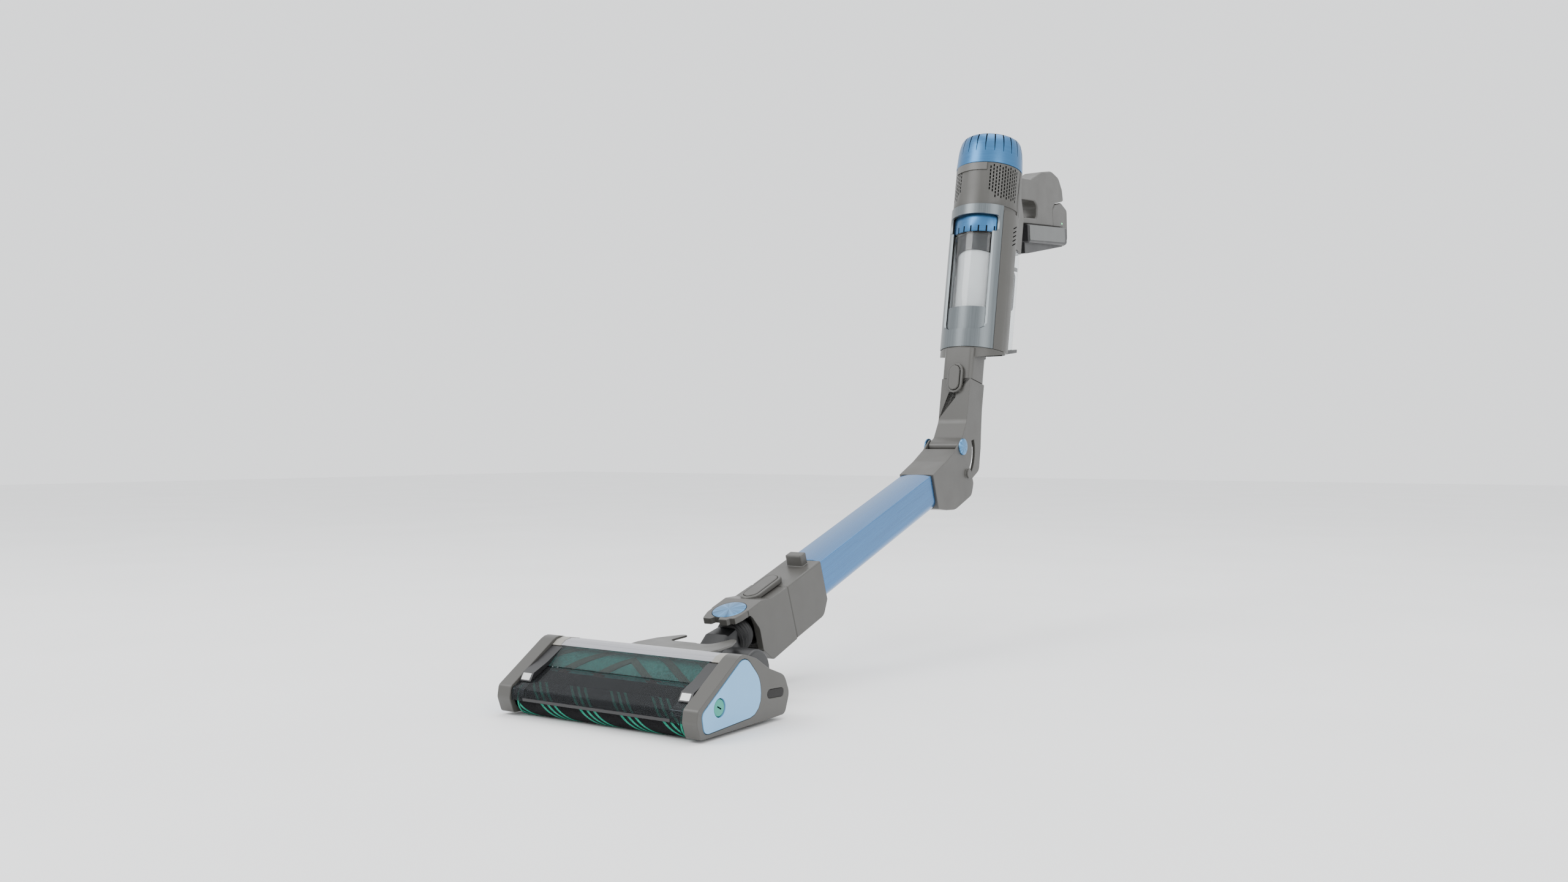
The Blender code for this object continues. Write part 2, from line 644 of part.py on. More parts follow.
def build_lower_hinge():
    hinge = slab("lower_hinge_housing", [hinge_outline()], -HINGE_HALF, HINGE_HALF, "X")
    piece(hinge, WAND, "taupe")
    pin_u, pin_n = FOLD_PIN[1:]
    sweep = arc(pin_u, pin_n, CHEEK_SWEEP, 188, 300, 14)
    bay = [(660, 60), (596, 60), (596, 33.4), (604.2, 30.6), (604.2, 27.4), (590, 27.2), (556, 23.5)]
    cut(hinge, slab("cheek_bay", [bay + sweep + [(660, -40)]], -23.8, 23.8, "X"))
    cut(hinge, rod("hinge_duct", 18, 510, 570, "Y", (0, -3), 24))
    cut(hinge, rod("hinge_bore", PIN_RADIUS + GAP, -30, 30, "X", (pin_u, pin_n), 16))
    piece(rod("hinge_pin", PIN_RADIUS, -26.9, 26.9, "X", (pin_u, pin_n), 16), WAND, "steel")
    for side, sign in (("right", 1), ("left", -1)):
        low, high = (27.3, 30.3) if sign > 0 else (-30.3, -27.3)
        disc = rod(side + "_hinge_cap", 11.9, low, high, "X", (pin_u, pin_n), 28)
        piece(bevel(disc, 0.8), WAND, "blue_metal")
        knob = rod(side + "_guide_knob", 6.8, *sorted((sign * 25, sign * 30.6)), "X", (617, -10), 20)
        join(hinge, knob)
    route = [(0, 552, -4), (0, 570, -6), (0, 586, -8), (0, 600, -8.5), (0, 614, -6), (0, 626, 0), (0, 636, 10)]
    piece(tube_along("bend_hose", route, 14.5), WAND, "black")


def tube_along(name, route, radius):
    curve = bpy.data.curves.new(name, "CURVE")
    curve.dimensions = "3D"
    curve.bevel_depth = radius * MM
    curve.bevel_resolution = 4
    curve.use_fill_caps = True
    spline = curve.splines.new("POLY")
    spline.points.add(len(route) - 1)
    for point, place in zip(spline.points, route):
        point.co = (*(Vector(place) * MM), 1)
    obj = bpy.data.objects.new(name, curve)
    TOOLS.objects.link(obj)
    return baked(obj)


# ---------------------------------------------------------------- upper wand and handheld unit


def upper_outline():
    """Side of the upper wand: its neck, the barrel round the hinge pin, and the cheeks behind it."""
    front = [(104.7, -61.5, 0), (104.7, -14, 0), (40, -14, 24), (14, -4, 6)]
    barrel = arc(0, 0, BARREL_RADIUS, 34.5, 216.5, 8)
    rear = [(-53, -14, 5), (-43, -42, 20), (-23, -67.5, 12), (10, -67, 20), (36, -64, 30), (68, -61, 30)]
    return rounded(front + sharp(barrel) + rear, 4)


def banana(first, last, width):
    """A curved slot round the fold pin between two points (radius, angle)."""
    points = []
    for edge, order in ((width / 2, range(9)), (-width / 2, range(8, -1, -1))):
        for i in order:
            radius = first[0] + (last[0] - first[0]) * i / 8 + edge
            angle = radians(first[1] + (last[1] - first[1]) * i / 8)
            points.append((radius * cos(angle), radius * sin(angle)))
    return points


def build_upper_wand():
    wand = slab("upper_wand", [upper_outline()], -CHEEK_HALF, CHEEK_HALF, "X")
    piece(wand, UPPER, "taupe")
    hollow = [(110, -18), (36, -18), (20, -12), (-4, -9.2), (-12, -8.6), (-18, -6), (-70, -6), (-70, -80), (8, -80), (14, -60)]
    hollow += [(40, -58), (110, -57.5)]
    cut(wand, slab("hose_bay", [hollow], -19, 19, "X"))
    cut(wand, slab("cheek_slot", [banana((42, -66), (50, -146), 9)], -30, 30, "X"))
    cut(wand, rod("barrel_bore", PIN_RADIUS + GAP, -30, 30, "X", (0, 0), 16))
    join(wand, bevel(slab("upper_bezel", [stadium(0, 104.8, 25, 45)], -13.7, -8.3, "Z"), 1, 2))
    join(wand, box("bezel_foot", (-9, 85, -19), (9, 104.4, -11)))
    join(wand, box("wand_catch", (-7, 86, -66.5), (7, 102, -57), 1.5))
    cut(wand, slab("upper_button_well", [stadium(0, 104.8, 17.8, 37.8)], -12, 0, "Z"))
    button = slab("upper_release_button", [stadium(0, 104.8, 17, 37)], -9.2, -5.8, "Z")
    piece(bevel(button, 0.6), UPPER, "taupe", at=(0, 104.8, -7.5))


def underside(m):
    """Where the sloping underside of the handheld unit lies at this depth."""
    return 138 + 0.29 * (-20 - m)


def build_inlet_base():
    neck = rounded([(-24, -14, 7), (24, -14, 7), (24, -60, 8), (-24, -60, 8)], 3)
    base = piece(slab("inlet_base", [neck], 105, 151, "Y"), UPPER, "taupe")
    skirt = slab("base_skirt", [arc(0, AXIS_M, 51, 177, 3, 24)], 132, 153.6, "Y")
    below = [(100, 10), (underside(10), 10), (underside(-80), -80), (100, -80)]
    as_tool(skirt, UPPER)
    cut(skirt, slab("skirt_slope", [below], -60, 60, "X"))
    join(base, skirt)
    cut(base, rod("base_duct", 17, 100, 160, "Y", (0, -37), 20))
    cut(base, box("knuckle_room", (-30.5, 142.5, -75), (30.5, 155, -58.7)))
    lug = [(145.6, -64), (148.4, -64), (151.3, -58.2), (151.3, -55.2), (146.2, -55.2)]
    join(base, slab("door_lug", [lug], -7.6, 7.6, "X"))
    join(base, rod("door_hinge_pin", 1.5, -21, 21, "X", DOOR_HINGE[1:], 10))


def keyhole(radius, half, rear, corner):
    """A circle on the handheld unit's axis with a box behind it, as one outline."""
    start = -degrees(acos(half / radius))
    back = rounded([(half, -50, 0), (half, rear, corner), (-half, rear, corner), (-half, -50, 0)], 3)
    return arc(0, AXIS_M, radius, 180 - start, start, 22) + back[1:-1]


def build_dust_cup():
    cup = slab("dust_cup", [keyhole(CUP_RADIUS, BIN_HALF, BIN_REAR, 10)], 158, 332.7, "Y")
    piece(cup, UPPER, "clear")
    slope = [(underside(-58) + 5.4, -58), (underside(-170) + 5.4, -170), (140, -170), (140, -58)]
    cut(cup, slab("cup_slope", [slope], -60, 60, "X"))
    inside = keyhole(CUP_RADIUS - 2, BIN_HALF - 2, BIN_REAR + 2, 8)
    cut(cup, slab("cup_inside", [inside], 140, 330.7, "Y"))
    cut(cup, rod("cup_outlet", 20, 325, 340, "Y", (0, AXIS_M), 20))

    spread = BEZEL_SPREAD - 1
    piece(arc_band("cup_lower_band", 46.3, 48.3, 158, 216, -spread, spread, 20), UPPER, "silver")
    cone = [(40, 330.2), (40, 272), (34, 262), (32, 250), (32, 178), (27, 166)]
    cone += [(23, 166), (27.5, 182), (27.5, 262), (36, 275), (36, 326), (20, 328), (20, 330.2)]
    piece(turned("cyclone_shroud", cone, "Y", (0, AXIS_M), 24, closed=True), UPPER, "dark")


def build_bezel():
    bezel = arc_band("front_bezel", BEZEL_INNER, BEZEL_OUTER, 154, 374, -BEZEL_SPREAD, BEZEL_SPREAD, 24)
    piece(bezel, UPPER, "silver")
    cut(bezel, bevel(box("bezel_window", (-60, 181, -28.6), (60, 359, 60)), 10, 3))
    cut(bezel, bevel(box("ring_window", (-60, 333, -34), (60, 358.4, 60)), 4, 2))


def build_motor_housing():
    tube = [(MOTOR_RADIUS, 439.7), (MOTOR_RADIUS, 374.6), (48.6, 374.6), (48.6, 360.4), (20, 360.4)]
    tube += [(20, 364), (44, 364), (44, 380), (45.4, 384), (45.4, 439.7)]
    housing = turned("motor_housing", tube, "Y", (0, AXIS_M), 36, closed=True)
    piece(housing, UPPER, "taupe")
    plan = rounded(
        [(49.6, -72, 0), (49.6, -80, 10), (27, -118, 14), (24, -155, 6)]
        + [(-24, -155, 6), (-27, -118, 14), (-49.6, -80, 10), (-49.6, -72, 0)],
        3,
    )
    plan += arc(0, AXIS_M, 47.6, 187, 353, 16)
    spine = slab("rear_fairing", [plan], 336, 439.2, "Y")
    above = [(376, -155.2), (397, -149), (421, -134), (441, -128.5), (450, -128.5), (450, -200), (376, -200)]
    as_tool(spine, UPPER)
    cut(spine, slab("spine_slope", [above], -40, 40, "X"))
    join(housing, spine)
    for sign in (-1, 1):
        start, end = sorted((sign * (BEZEL_SPREAD + 1.3), sign * 102))
        join(housing, arc_band(f"side_leg_{sign}", 46.6, 51.2, 154.2, 368, start, end, 8))
    cut(housing, box("board_bay", (-19, 330, -148), (19, 392, -121)))

    piece(arc_band("name_plate", 50.4, 51.4, 428, 439.2, -44, 22, 8), UPPER, "light_grey")
    slit = ring("slit_ring", 46.2, 43, 333, 360, "Y", (0, AXIS_M), 36)
    piece(slit, UPPER, "blue_metal")
    piece(rod("pre_motor_filter", 42.5, 334, 357, "Y", (0, AXIS_M), 24), UPPER, "felt")

    motor = [(0, 434), (20, 434), (30, 428), (30, 384), (22, 380), (4.4, 380), (4.4, 422), (0, 422)]
    piece(turned("suction_motor", motor, "Y", (0, AXIS_M), 24), UPPER, "steel")
    fan = [(0, 417), (3.6, 417), (3.6, 375), (33, 370.5), (33, 368.5), (12, 368), (0, 366)]
    fan = turned("impeller", fan, "Y", (0, 0), 24)
    fan.data.transform(Matrix.Translation((0, 0, AXIS_M * MM)))
    piece(fan, UPPER, "steel", at=(0, FAN_V, AXIS_M))
    for i in range(3):
        blade = box(f"impeller_blade_{i}", (-32, -16, -0.8), (32, -11, 0.8))
        blade.data.transform(Matrix.Rotation(i * pi / 3, 4, "Y"))
        blade.location = fan.location
        join(fan, blade)

    exhaust = ring("exhaust_filter", 44, 30, 441, 468, "Y", (0, AXIS_M), 28)
    piece(exhaust, UPPER, "felt")
    cap = [(0, 491), (36, 490.4), (42, 488), (45.5, 483), (48.5, 470), (50, 452), (CAP_RADIUS, 440.2)]
    cap += [(46, 440.2), (45.4, 468), (42, 480), (38, 486), (0, 486)]
    cap = turned("filter_cap", cap, "Y", (0, 0), 40)
    cap.data.transform(Matrix.Translation((0, 0, AXIS_M * MM)))
    piece(cap, UPPER, "blue_metal", at=(0, 450, AXIS_M))


def build_dust_door():
    top = [(148, -61.4), (155.7, -64.6), (underside(DOOR_REAR) + 5, DOOR_REAR)]
    door = slab("dust_door", [top + [(underside(DOOR_REAR), DOOR_REAR), (149.2, -66)]], -48, 48, "X")
    piece(door, UPPER, "dark", at=DOOR_HINGE)
    plan = slab("door_plan", [keyhole(46.2, DOOR_HALF, DOOR_REAR - 1, 10)], 100, 220, "Y")
    plan.data.transform(Matrix.Translation(-Vector(DOOR_HINGE) * MM))
    plan.location = door.location
    combine(door, plan, "INTERSECT")
    for i, (low, high) in enumerate(((-20, -8.3), (8.3, 20))):
        knuckle = rod(f"door_knuckle_{i}", 3.4, low, high, "X", (0, 0), 14)
        knuckle.location = door.location
        join(door, knuckle)
    bore = rod("door_bore", 1.8, -30, 30, "X", (0, 0), 12)
    bore.location = door.location
    cut(door, bore)
    notch = box("door_notch", (-8.3, -20, -6), (8.3, 20, 12))
    notch.location = door.location
    cut(door, notch)
    for side in (-1, 1):
        low, high = sorted((side * 20.4, side * 60))
        corner = box(f"door_corner_{side}", (low, -20, -3.4), (high, 9.5, 12))
        corner.location = door.location
        cut(door, corner)
    latch = box("cup_latch", (-9, 308, -154), (9, 335.6, -145.4), 1.5)
    piece(latch, UPPER, "dark", at=(0, 322, -150))


# ---------------------------------------------------------------- handle and battery


def build_handle():
    outer = [(58.2, -1, 0), (195, -1, 3), (195, 27, 0), (197, 31, 3), (208, 38.6, 4), (238, 42.6, 3)]
    outer += [(243, 43, 3), (240, 62, 14), (226, 82, 18), (197, 91, 30), (158, 87, 30), (112, 72, 20)]
    outer += [(46, 72, 3), (43.6, 58.4, 0), (50.9, 56.4, 0), (50.6, 37, 0), (120, 37, 8), (131, 30, 8)]
    outer += [(127, 10, 7), (58.8, 10, 0)]
    handle = slab("handle", [rounded(outer, 3)], -17, 17, "X")
    piece(bevel(handle, 4, 2, 60), HANDLE, "taupe")
    cut(handle, slab("power_button_well", [stadium(0, 84, 15, 27)], 69, 80, "Z"))
    button = slab("power_button", [stadium(0, 84, 14.2, 26.2)], 71, 75.4, "Z")
    piece(bevel(button, 0.6), HANDLE, "dark", at=(0, 84, 73))
    pack = rounded([(78, -31, 4), (78, -1.6, 3), (236, -1.6, 3), (236, -31, 6)], 3)
    pack = slab("battery_pack", [pack], -24, 24, "X")
    piece(bevel(pack, 2.5, 1, 50), HANDLE, "dark", at=(0, 160, -16))
    wedge = [(79, -29), (79, -47.5), (90, -47.5), (235, -32.6), (235, -29)]
    wedge = slab("battery_wedge", [wedge], -15, 15, "X")
    wedge.data.transform(Matrix.Translation((0, -160 * MM, 16 * MM)))
    wedge.location = pack.location
    join(pack, wedge)
    rear = [(196.2, -0.8, 0), (196.2, 27.5, 3), (208.5, 37.2, 4), (238, 41.2, 6), (262, 30, 8), (260, -20, 8)]
    rear += [(247, -31, 4), (236.5, -31, 0), (236.5, -0.8, 0)]
    rear = slab("battery_rear_cap", [rounded(rear, 3)], -15, 15, "X")
    piece(bevel(rear, 2, 1, 60), HANDLE, "taupe")
    cut(rear, box("battery_button_well", (-7.6, 253, 6), (7.6, 275, 26)))
    button = box("battery_button", (-7, 255.5, 6.6), (7, 263.2, 25.4), 1)
    piece(button, HANDLE, "dark", at=(0, 259, 16))


# ---------------------------------------------------------------- assembly

clear_scene()
PARTS = new_collection("cordless_stick_vacuum")
TOOLS = new_collection("cutters")

HEAD = new_frame("vacuum_origin", at=(0, -CENTRE_Y, 0))
HEAD_AXLE = new_frame("axle_frame", HEAD, WAND_ORIGIN, WAND_PITCH)
PITCH = new_frame("neck_pitch_axis", HEAD, PITCH_AXIS)
YOKE = new_frame("yoke_frame", PITCH, Vector(WAND_ORIGIN) - Vector(PITCH_AXIS), WAND_PITCH)
STEER = new_frame("neck_steer_axis", YOKE, (0, STEER_U, 0))
WAND = new_frame("wand_frame", STEER, (0, -STEER_U, 0))
UPPER = new_frame("wand_fold_axis", WAND, FOLD_PIN, FOLD_REST)
HANDLE = new_frame("handle_frame", UPPER, HANDLE_ORIGIN, HANDLE_TILT)
bpy.context.view_layer.update()

build_head_shell()
for SIDE, SIGN in (("right", 1), ("left", -1)):
    build_end_housing(SIDE, SIGN)
    build_trunnion(SIDE, SIGN)
build_rollers()
build_yoke()
build_clevis()
build_tube_socket()
build_tube()
build_lower_hinge()
build_upper_wand()
build_inlet_base()
build_dust_cup()
build_bezel()
build_motor_housing()
build_dust_door()
build_handle()
bpy.context.view_layer.update()
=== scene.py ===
import json
from math import cos, pi, radians, sin

import bmesh
import bpy
from mathutils import Matrix, Vector


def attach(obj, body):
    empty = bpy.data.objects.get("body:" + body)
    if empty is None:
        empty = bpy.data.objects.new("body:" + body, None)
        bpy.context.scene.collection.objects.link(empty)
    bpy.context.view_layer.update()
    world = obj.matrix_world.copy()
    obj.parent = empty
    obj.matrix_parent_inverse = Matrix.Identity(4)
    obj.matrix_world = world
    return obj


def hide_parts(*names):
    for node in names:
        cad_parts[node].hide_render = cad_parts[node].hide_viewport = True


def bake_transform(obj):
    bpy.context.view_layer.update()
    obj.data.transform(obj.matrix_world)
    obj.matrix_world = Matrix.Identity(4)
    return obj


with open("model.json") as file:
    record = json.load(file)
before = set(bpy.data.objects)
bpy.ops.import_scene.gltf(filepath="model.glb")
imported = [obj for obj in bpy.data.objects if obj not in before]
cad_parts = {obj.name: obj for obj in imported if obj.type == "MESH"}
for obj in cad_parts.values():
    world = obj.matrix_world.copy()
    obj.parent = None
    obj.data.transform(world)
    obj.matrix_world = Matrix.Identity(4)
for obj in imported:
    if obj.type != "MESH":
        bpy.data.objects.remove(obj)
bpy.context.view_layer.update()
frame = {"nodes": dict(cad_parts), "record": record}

NODES = frame["nodes"]
BODY = {n: b for b, names in frame["record"]["behaviour"]["bodies"].items() for n in names}
MM = 0.001  # metres; every length below is in millimetres

# Places shared with the CAD, in millimetres and degrees.
CENTRE_Y = 575.053
WAND_PITCH = 19
FOLD_PIN = (0, 614, 32)
FOLD_REST = 60.5
UPPER_TILT = WAND_PITCH + FOLD_REST
HANDLE_TILT = -74
AXIS_M = -66.5
SIDES = ((1, "right"), (-1, "left"))
SOFT_ROLLER_AXIS = (12, 17)
BRUSH_ROLL_AXIS = (66, 33.5)
CAP_BASE = 440


def moved(x, y, z, pitch=0.0):
    """A frame moved by millimetres and pitched about X by degrees."""
    return Matrix.Translation(Vector((x, y, z)) * MM) @ Matrix.Rotation(radians(pitch), 4, "X")


# The same frames as the CAD: floor head, lower wand, handheld unit and handle.
HEAD = moved(0, -CENTRE_Y, 0)
WAND = HEAD @ moved(0, 167, 45, WAND_PITCH)
UPPER = WAND @ moved(*FOLD_PIN, FOLD_REST)
HANDLE = UPPER @ moved(0, 372.5, -96.2, HANDLE_TILT)

# ---------------------------------------------------------------- materials


class Finish:
    """A node material whose maps run over the object's own coordinates."""

    def __init__(self, name, **sockets):
        self.material = bpy.data.materials.new(name)
        self.material.use_nodes = True
        self.nodes = self.material.node_tree.nodes
        self.links = self.material.node_tree.links
        self.shader = self.nodes["Principled BSDF"]
        for key, value in sockets.items():
            socket = self.shader.inputs[key.replace("_", " ")]
            socket.default_value = (*value, 1) if isinstance(value, tuple) else value
        self.coords = self.nodes.new("ShaderNodeTexCoord").outputs["Object"]

    def node(self, kind, **settings):
        """A shader node with the given settings."""
        node = self.nodes.new("ShaderNode" + kind)
        for key, value in settings.items():
            setattr(node, key, value)
        return node

    def stretched(self, x, y, z, turn=0.0):
        """Coordinates scaled along each axis, in a frame pitched by turn degrees."""
        mapping = self.node("Mapping", vector_type="TEXTURE")
        mapping.inputs["Rotation"].default_value = (radians(turn), 0, 0)
        mapping.inputs["Scale"].default_value = (1 / x, 1 / y, 1 / z)
        self.links.new(self.coords, mapping.inputs["Vector"])
        return mapping.outputs["Vector"]

    def polar(self, across, up, turns, radial):
        """Coordinates (angle, radius) round an axis of the object, for marks that run outwards."""
        split = self.node("SeparateXYZ")
        self.links.new(self.coords, split.inputs[0])
        angle = self.node("Math", operation="ARCTAN2")
        self.links.new(split.outputs[across], angle.inputs[0])
        self.links.new(split.outputs[up], angle.inputs[1])
        wide = self.node("Math", operation="MULTIPLY")
        wide.inputs[1].default_value = turns
        self.links.new(angle.outputs[0], wide.inputs[0])
        reach = self.node("VectorMath", operation="LENGTH")
        self.links.new(self.coords, reach.inputs[0])
        out = self.node("Math", operation="MULTIPLY")
        out.inputs[1].default_value = radial
        self.links.new(reach.outputs["Value"], out.inputs[0])
        joined = self.node("CombineXYZ")
        self.links.new(wide.outputs[0], joined.inputs[0])
        self.links.new(out.outputs[0], joined.inputs[1])
        return joined.outputs[0]

    def noise(self, scale, detail=3.0, vector=None):
        """Smooth noise; the scale is in waves per metre."""
        noise = self.node("TexNoise")
        noise.inputs["Scale"].default_value = scale
        noise.inputs["Detail"].default_value = detail
        self.links.new(self.coords if vector is None else vector, noise.inputs["Vector"])
        return noise.outputs["Fac"]

    def colours(self, source, dark, light):
        """Base colour from dark to light over the middle of the noise."""
        ramp = self.node("ValToRGB")
        ramp.color_ramp.elements[0].position = 0.32
        ramp.color_ramp.elements[0].color = (*dark, 1)
        ramp.color_ramp.elements[1].position = 0.68
        ramp.color_ramp.elements[1].color = (*light, 1)
        self.links.new(source, ramp.inputs["Fac"])
        self.links.new(ramp.outputs["Color"], self.shader.inputs["Base Color"])

    def rough(self, source, low, high):
        """Roughness from low to high over the middle of the noise."""
        reach = self.node("MapRange")
        reach.inputs["From Min"].default_value = 0.3
        reach.inputs["From Max"].default_value = 0.7
        reach.inputs["To Min"].default_value = low
        reach.inputs["To Max"].default_value = high
        self.links.new(source, reach.inputs["Value"])
        self.links.new(reach.outputs["Result"], self.shader.inputs["Roughness"])

    def bump(self, source, strength, depth):
        """Fine relief; the depth is in millimetres."""
        bump = self.node("Bump")
        bump.inputs["Strength"].default_value = strength
        bump.inputs["Distance"].default_value = depth * MM
        self.links.new(source, bump.inputs["Height"])
        self.links.new(bump.outputs["Normal"], self.shader.inputs["Normal"])


def shade(colour, by):
    """A lighter or darker version of a colour."""
    return tuple(min(1.0, c * by) for c in colour)


def plastic(name, colour, low, high, grain=1400, depth=0.05, strength=0.25, **sockets):
    """Moulded plastic: a fine spark-eroded grain and a slow drift of tone and gloss."""
    finish = Finish(name, **sockets)
    finish.colours(finish.noise(9, 4), shade(colour, 0.93), shade(colour, 1.06))
    finish.rough(finish.noise(34, 5), low, high)
    finish.bump(finish.noise(grain, 2), strength, depth)
    return finish.material


def brushed(name, colour, low, high, stretch, metallic=0.9, depth=0.02, turn=0.0, **sockets):
    """Metal or metallic paint with fine lines along one direction."""
    finish = Finish(name, Metallic=metallic, **sockets)
    lines = finish.noise(1, 3, finish.stretched(*stretch, turn))
    finish.colours(lines, shade(colour, 0.9), shade(colour, 1.08))
    finish.rough(lines, low, high)
    finish.bump(lines, 0.2, depth)
    return finish.material


def spun(name, colour, across, up):
    """A disc brushed from its middle outwards, its colour carrying painted sheen in broad lighter
    and darker sectors.
    """
    finish = Finish(name, Metallic=0.95, Anisotropic=0.6)
    lines = finish.noise(1, 3, finish.polar(across, up, 26, 60))
    # Painted reflection: broad lighter and darker sectors round the disc stand in for the sheen of
    # the spun metal.
    painted_sheen = finish.noise(1, 1, finish.polar(across, up, 2.4, 2))
    finish.colours(painted_sheen, shade(colour, 0.62), shade(colour, 1.35))
    finish.rough(lines, 0.2, 0.42)
    finish.bump(lines, 0.25, 0.03)
    return finish.material


def pile(name, dark, light, scale=700, depth=0.7):
    """Dense short bristle or felt."""
    finish = Finish(name, Specular_IOR_Level=0.15)
    strands = finish.noise(scale, 4)
    finish.colours(strands, dark, light)
    finish.rough(finish.noise(60, 2), 0.75, 0.95)
    finish.bump(strands, 0.8, depth)
    return finish.material


def glass(name, colour, low, high, weight, **sockets):
    """Clear or smoked plastic with a light haze that changes slowly over it."""
    finish = Finish(name, Transmission_Weight=weight, **sockets)
    finish.colours(finish.noise(12, 3), shade(colour, 0.94), shade(colour, 1.04))
    finish.rough(finish.noise(45, 4), low, high)
    return finish.material


CAP_BLUE = (0.045, 0.145, 0.30)
DISC_BLUE = (0.10, 0.25, 0.45)
CAP_LINES = (30, 1400, 30)
M = {
    "taupe": plastic("taupe_plastic", (0.058, 0.056, 0.051), 0.36, 0.46),
    "taupe_light": plastic("taupe_light", (0.085, 0.083, 0.078), 0.34, 0.44),
    "panel_grey": plastic("panel_grey", (0.078, 0.082, 0.080), 0.3, 0.38, depth=0.03),
    "dark": plastic("charcoal_plastic", (0.014, 0.014, 0.015), 0.36, 0.46),
    "black": plastic(
        "black_plastic", (0.004, 0.004, 0.0045), 0.3, 0.42, Specular_IOR_Level=0.35
    ),
    "slit": plastic("slit_shadow", (0.002, 0.002, 0.002), 0.75, 0.85, Specular_IOR_Level=0.1),
    "rubber": plastic("rubber", (0.005, 0.005, 0.0055), 0.5, 0.65, grain=900, depth=0.08),
    "tube": brushed(
        "tube_blue_metal", (0.052, 0.165, 0.36), 0.24, 0.34, (900, 12, 900), 0.85, Coat_Weight=0.25
    ),
    "cap": brushed("cap_blue_metal", CAP_BLUE, 0.28, 0.4, CAP_LINES, 0.85, turn=UPPER_TILT),
    "ring": brushed("ring_blue_metal", CAP_BLUE, 0.28, 0.4, CAP_LINES, 0.85),
    "disc": spun("spun_disc", DISC_BLUE, 0, 1),
    "disc_side": spun("spun_disc_side", DISC_BLUE, 1, 2),
    "sky": plastic("sky_panel", (0.17, 0.38, 0.62), 0.28, 0.36, depth=0.02),
    "teal": plastic("teal_button", (0.02, 0.26, 0.20), 0.3, 0.4, depth=0.03),
    "silver": brushed("satin_silver", (0.125, 0.14, 0.148), 0.28, 0.38, (700, 10, 700), 0.8),
    "bar": brushed("silver_bar", (0.42, 0.42, 0.45), 0.2, 0.3, (8, 900, 900), 0.85),
    "bar_end": plastic("bar_end", (0.24, 0.23, 0.205), 0.34, 0.42),
    "steel": brushed("steel", (0.55, 0.56, 0.58), 0.22, 0.34, (20, 700, 700), 1.0),
    "clear": glass("clear_plastic", (0.93, 0.95, 0.96), 0.02, 0.06, 1.0, IOR=1.3),
    "smoke": glass("smoked_plastic", (0.30, 0.32, 0.34), 0.03, 0.08, 0.97, IOR=1.12),
    "window": glass("window_plastic", (0.42, 0.5, 0.5), 0.02, 0.06, 0.96, IOR=1.18),
    "lens": glass("lamp_lens", (0.95, 0.96, 0.97), 0.05, 0.12, 0.35, IOR=1.46),
    "sensor": plastic(
        "sensor_glass", (0.006, 0.005, 0.005), 0.2, 0.26, strength=0.02, Specular_IOR_Level=0.2
    ),
    "pale": plastic("pale_cyclone", (0.74, 0.75, 0.75), 0.3, 0.4),
    "felt": pile("filter_felt", (0.55, 0.53, 0.48), (0.78, 0.76, 0.7)),
    "bristle": pile("roller_pile", (0.0015, 0.0015, 0.002), (0.010, 0.010, 0.011), 900, 0.8),
    "green_pile": pile("green_pile", (0.01, 0.14, 0.09), (0.03, 0.30, 0.20), 900, 0.6),
    "teal_pile": pile("teal_pile", (0.015, 0.16, 0.145), (0.06, 0.33, 0.29), 500, 0.8),
    "brown_pile": pile("brown_pile", (0.05, 0.04, 0.033), (0.14, 0.115, 0.095), 700, 0.7),
}
led = Finish(
    "status_light",
    Base_Color=(0.05, 0.9, 0.3),
    Emission_Color=(0.1, 1.0, 0.35),
    Emission_Strength=3.0,
)
led.rough(led.noise(200), 0.25, 0.35)
M["led"] = led.material
floor_paint = Finish("pale_floor")
floor_paint.colours(floor_paint.noise(3, 3), (0.86, 0.86, 0.86), (0.89, 0.89, 0.89))
floor_paint.rough(floor_paint.noise(5, 2), 0.55, 0.62)
M["floor"] = floor_paint.material

# ---------------------------------------------------------------- meshes


def new_object(name, mesh, home, finish):
    """A mesh object whose own frame is home."""
    obj = bpy.data.objects.new(name, mesh)
    bpy.context.scene.collection.objects.link(obj)
    obj.matrix_world = home
    if not mesh.materials:
        mesh.materials.append(M[finish])
    return obj


def from_points(name, points, faces, home, finish):
    """A mesh object from points in millimetres, its faces turned outwards."""
    mesh = bpy.data.meshes.new(name)
    mesh.from_pydata([Vector(p) * MM for p in points], [], faces)
    work = bmesh.new()
    work.from_mesh(mesh)
    bmesh.ops.recalc_face_normals(work, faces=work.faces)
    work.to_mesh(mesh)
    work.free()
    return new_object(name, mesh, home, finish)


def skin(name, rings, home, finish, closed=False):
    """A skin over rings of equal count, capped at its ends or closed into a loop."""
    count, total = len(rings[0]), len(rings)
    faces = []
    for i in range(total if closed else total - 1):
        for k in range(count):
            here, there = i * count, (i + 1) % total * count
            faces.append((here + k, here + (k + 1) % count, there + (k + 1) % count, there + k))
    if not closed:
        faces.append(tuple(range(count)))
        faces.append(tuple(range((total - 1) * count, total * count)))
    return from_points(name, [p for ring in rings for p in ring], faces, home, finish)


def place(axis, a, b, along):
    """A point with (a, b) in the plane across an axis, in the order X, Y, Z."""
    return {"X": (along, a, b), "Y": (a, along, b), "Z": (a, b, along)}[axis]


def slab(name, outline, low, high, axis, home, finish):
    """An outline drawn out along an axis, from low to high."""
    rings = [[place(axis, a, b, w) for a, b in outline] for w in (low, high)]
    return skin(name, rings, home, finish)


